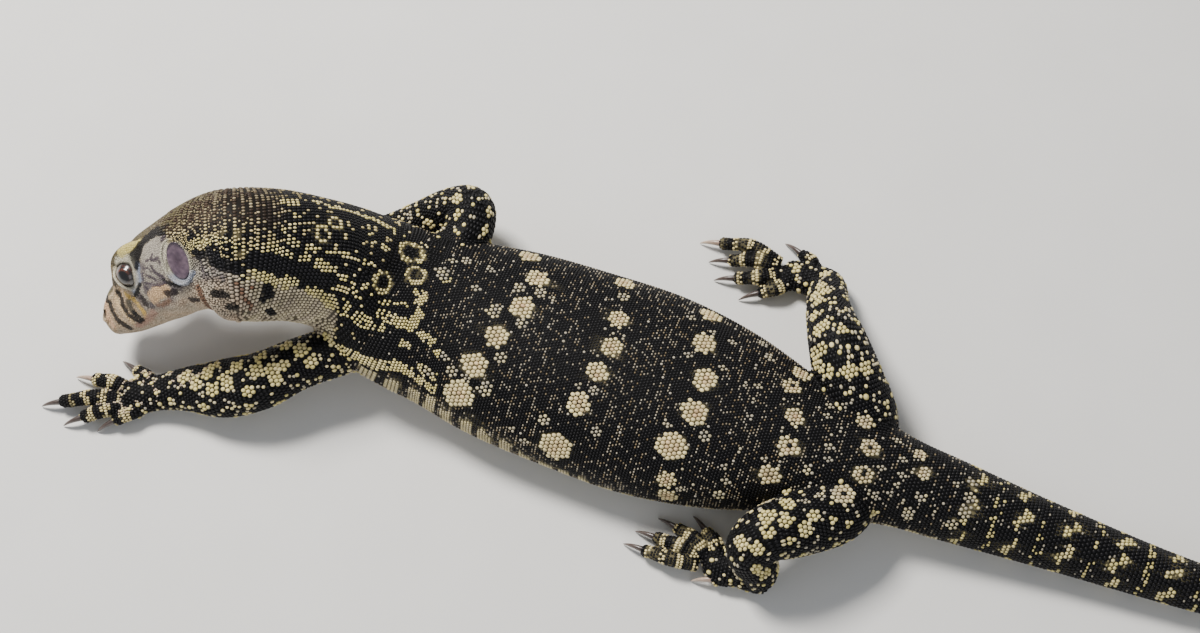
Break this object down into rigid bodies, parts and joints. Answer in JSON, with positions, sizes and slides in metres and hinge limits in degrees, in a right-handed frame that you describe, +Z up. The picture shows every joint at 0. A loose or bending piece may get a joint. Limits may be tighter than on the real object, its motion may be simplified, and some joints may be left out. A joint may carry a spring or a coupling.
{
  "type": "water monitor lizard figure",
  "caption": "Life-size still model of a young water monitor lizard lying on its belly, head arched and turned down to its left, long tail, clawed hands and feet.",
  "frame": {"origin": "on the floor, under the middle of the belly on the trunk's midline", "axes": "+X from head to tail along the trunk, +Z up from the floor, the animal's left side towards -Y"},
  "size_m": [0.5823, 0.1149, 0.0532],
  "materials": {
    "skin": "dry scaly hide",
    "eye": "wet gloss",
    "eardrum": "smooth moist membrane",
    "claw": "satin horn"
  },
  "bodies": {
    "root": {"arm_lower_l": "skin", "arm_lower_r": "skin", "arm_upper_l": "skin", "arm_upper_r": "skin", "claw_foot_l_1": "claw", "claw_foot_l_2": "claw", "claw_foot_l_3": "claw", "claw_foot_l_4": "claw", "claw_foot_l_5": "claw", "claw_foot_r_1": "claw", "claw_foot_r_2": "claw", "claw_foot_r_3": "claw", "claw_foot_r_4": "claw", "claw_foot_r_5": "claw", "claw_hand_l_1": "claw", "claw_hand_l_2": "claw", "claw_hand_l_3": "claw", "claw_hand_l_4": "claw", "claw_hand_l_5": "claw", "claw_hand_r_1": "claw", "claw_hand_r_2": "claw", "claw_hand_r_3": "claw", "claw_hand_r_4": "claw", "claw_hand_r_5": "claw", "eardrum_l": "eardrum", "eardrum_r": "eardrum", "eye_l": "eye", "eye_r": "eye", "foot_l": "skin", "foot_r": "skin", "hand_l": "skin", "hand_r": "skin", "head": "skin", "leg_lower_l": "skin", "leg_lower_r": "skin", "leg_upper_l": "skin", "leg_upper_r": "skin", "neck": "skin", "tail_1": "skin", "tail_2": "skin", "tail_3": "skin", "tail_4": "skin", "torso_front": "skin", "torso_rear": "skin"}
  },
  "joints": []
}
